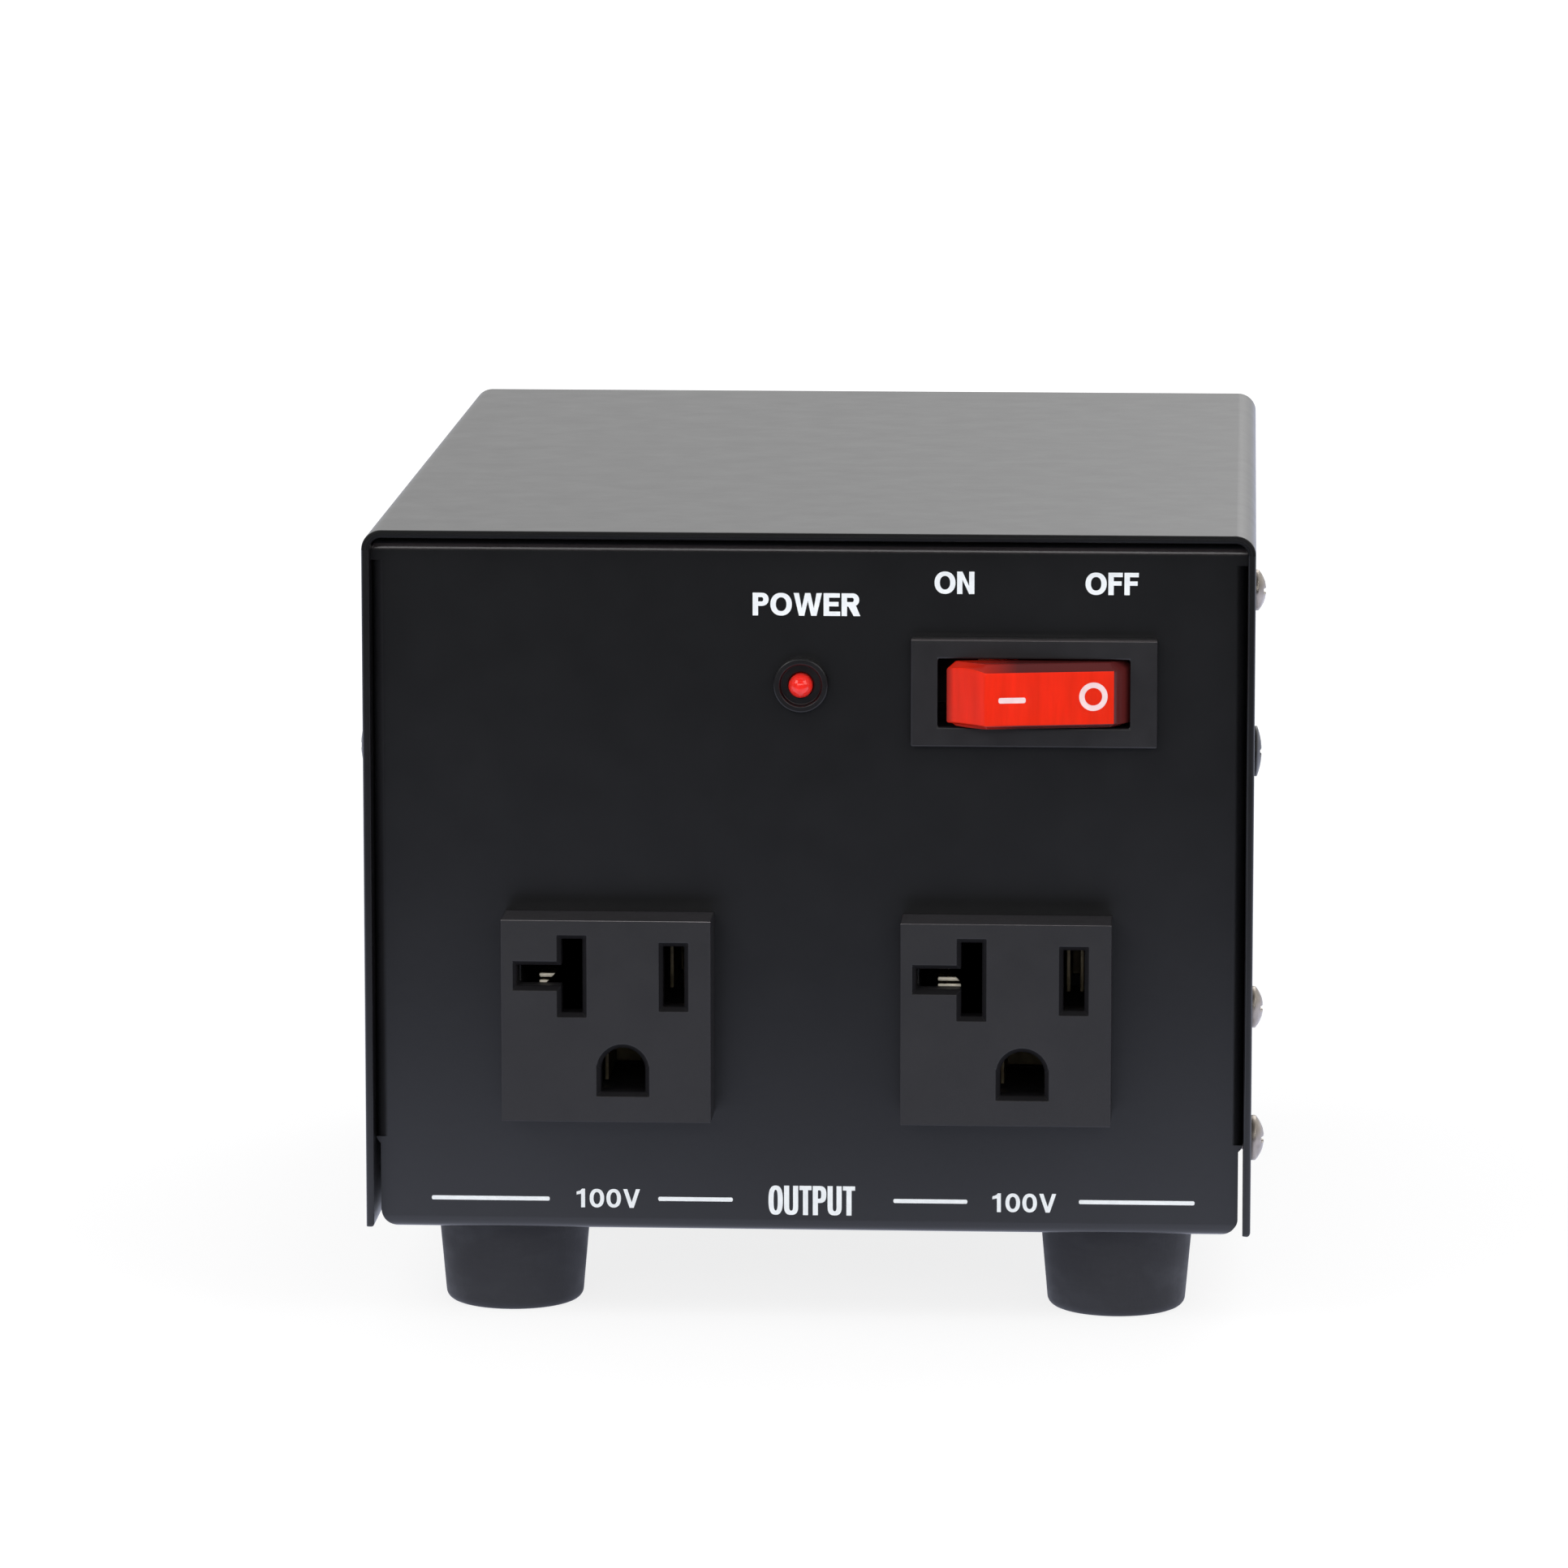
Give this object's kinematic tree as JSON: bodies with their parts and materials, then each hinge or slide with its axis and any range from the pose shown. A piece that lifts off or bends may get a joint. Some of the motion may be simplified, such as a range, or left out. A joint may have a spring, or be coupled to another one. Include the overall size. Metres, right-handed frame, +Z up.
{
  "type": "step-down transformer",
  "caption": "Mains transformer in a bent steel case on rubber feet, with front outlets, a red rocker switch, a pilot lamp and a rear fuse holder.",
  "frame": {"origin": "on the floor under the middle of the overall outline, gland and outlets included", "axes": "+X to the right as seen from the front, +Y to the rear, +Z up; the outlets face -Y"},
  "size_m": [0.1144, 0.173, 0.1015],
  "materials": {
    "case_paint": "fine satin black powder coat",
    "moulding": "satin black moulded plastic",
    "rubber": "matt black rubber",
    "nickel": "nickel plate, slightly warm",
    "zinc": "bright zinc plate",
    "black_screw": "black oxide",
    "brass": "bright brass",
    "rocker_red": "glossy translucent red",
    "lamp_red": "glossy translucent red epoxy",
    "core_steel": "edges of silicon steel laminations, varnished",
    "bobbin_plastic": "natural nylon",
    "copper": "enamelled copper wire",
    "tape": "yellow polyester tape",
    "white_plastic": "white nylon",
    "glass": "clear glass",
    "red_insulation": "red PVC",
    "white_insulation": "white PVC",
    "black_insulation": "black PVC",
    "green_insulation": "green PVC"
  },
  "bodies": {
    "case": {"chassis": "case_paint", "cover": "case_paint", "cover_screws": "nickel", "front_screws": "black_screw", "foot_front_left": "rubber", "foot_front_right": "rubber", "foot_rear_left": "rubber", "foot_rear_right": "rubber", "foot_screws": "zinc", "foot_nuts": "zinc", "outlet_left_body": "moulding", "outlet_right_body": "moulding", "outlet_left_back": "moulding", "outlet_right_back": "moulding", "line_contacts": "brass", "neutral_contacts": "brass", "ground_contacts": "brass", "switch_housing": "moulding", "switch_terminals": "brass", "lamp_holder": "moulding", "lamp_led": "lamp_red", "lamp_ring": "moulding", "core_e_stack": "core_steel", "core_i_stack": "core_steel", "bobbin": "bobbin_plastic", "primary_winding": "copper", "secondary_winding": "copper", "winding_tape": "tape", "thermal_cutoff": "white_plastic", "front_clamp": "zinc", "rear_clamp": "zinc", "top_straps": "zinc", "core_bolts": "zinc", "core_nuts": "zinc", "clamp_screws": "zinc", "clamp_nuts": "zinc", "fuse_holder": "moulding", "fuse_holder_nut": "moulding", "fuse_terminals": "brass", "gland_body": "moulding", "gland_dome_nut": "moulding", "gland_lock_nut": "moulding", "gland_seal": "rubber", "earth_stud": "zinc", "earth_nuts": "zinc", "terminal_strip": "white_plastic", "strip_inserts": "brass", "strip_screws": "zinc", "line_leads": "red_insulation", "neutral_lead": "white_insulation", "output_leads": "black_insulation", "earth_leads": "green_insulation", "lamp_leads": "black_insulation"},
    "rocker": {"rocker": "rocker_red", "switch_plunger": "zinc"},
    "contact_lever": {"switch_lever": "brass"},
    "fuse": {"fuse_carrier": "brass", "fuse_glass": "glass", "fuse_end_caps": "nickel"},
    "fuse_cap": {"fuse_cap": "moulding"}
  },
  "joints": [
    {"name": "rocker_tilt", "type": "hinge", "parent": "case", "child": "rocker", "pos_m": [0.0281, -0.0728, 0.0815], "axis": [0, 0, -1], "range_deg": [0, 20]},
    {"name": "lever_tilt", "type": "hinge", "parent": "case", "child": "contact_lever", "pos_m": [0.0281, -0.0642, 0.0815], "axis": [0, 0, 1], "range_deg": [0, 10]},
    {"name": "fuse_pull", "type": "slide", "parent": "case", "child": "fuse", "axis": [0, 1, 0], "range_m": [0, 0.035]},
    {"name": "fuse_cap_turn", "type": "hinge", "parent": "fuse", "child": "fuse_cap", "pos_m": [0.04, 0.0695, 0.0625], "axis": [0, 1, 0], "range_deg": [0, 90]}
  ],
  "couplings": [
    {"joint": "lever_tilt", "follows": "rocker_tilt", "ratio": 0.5}
  ]
}
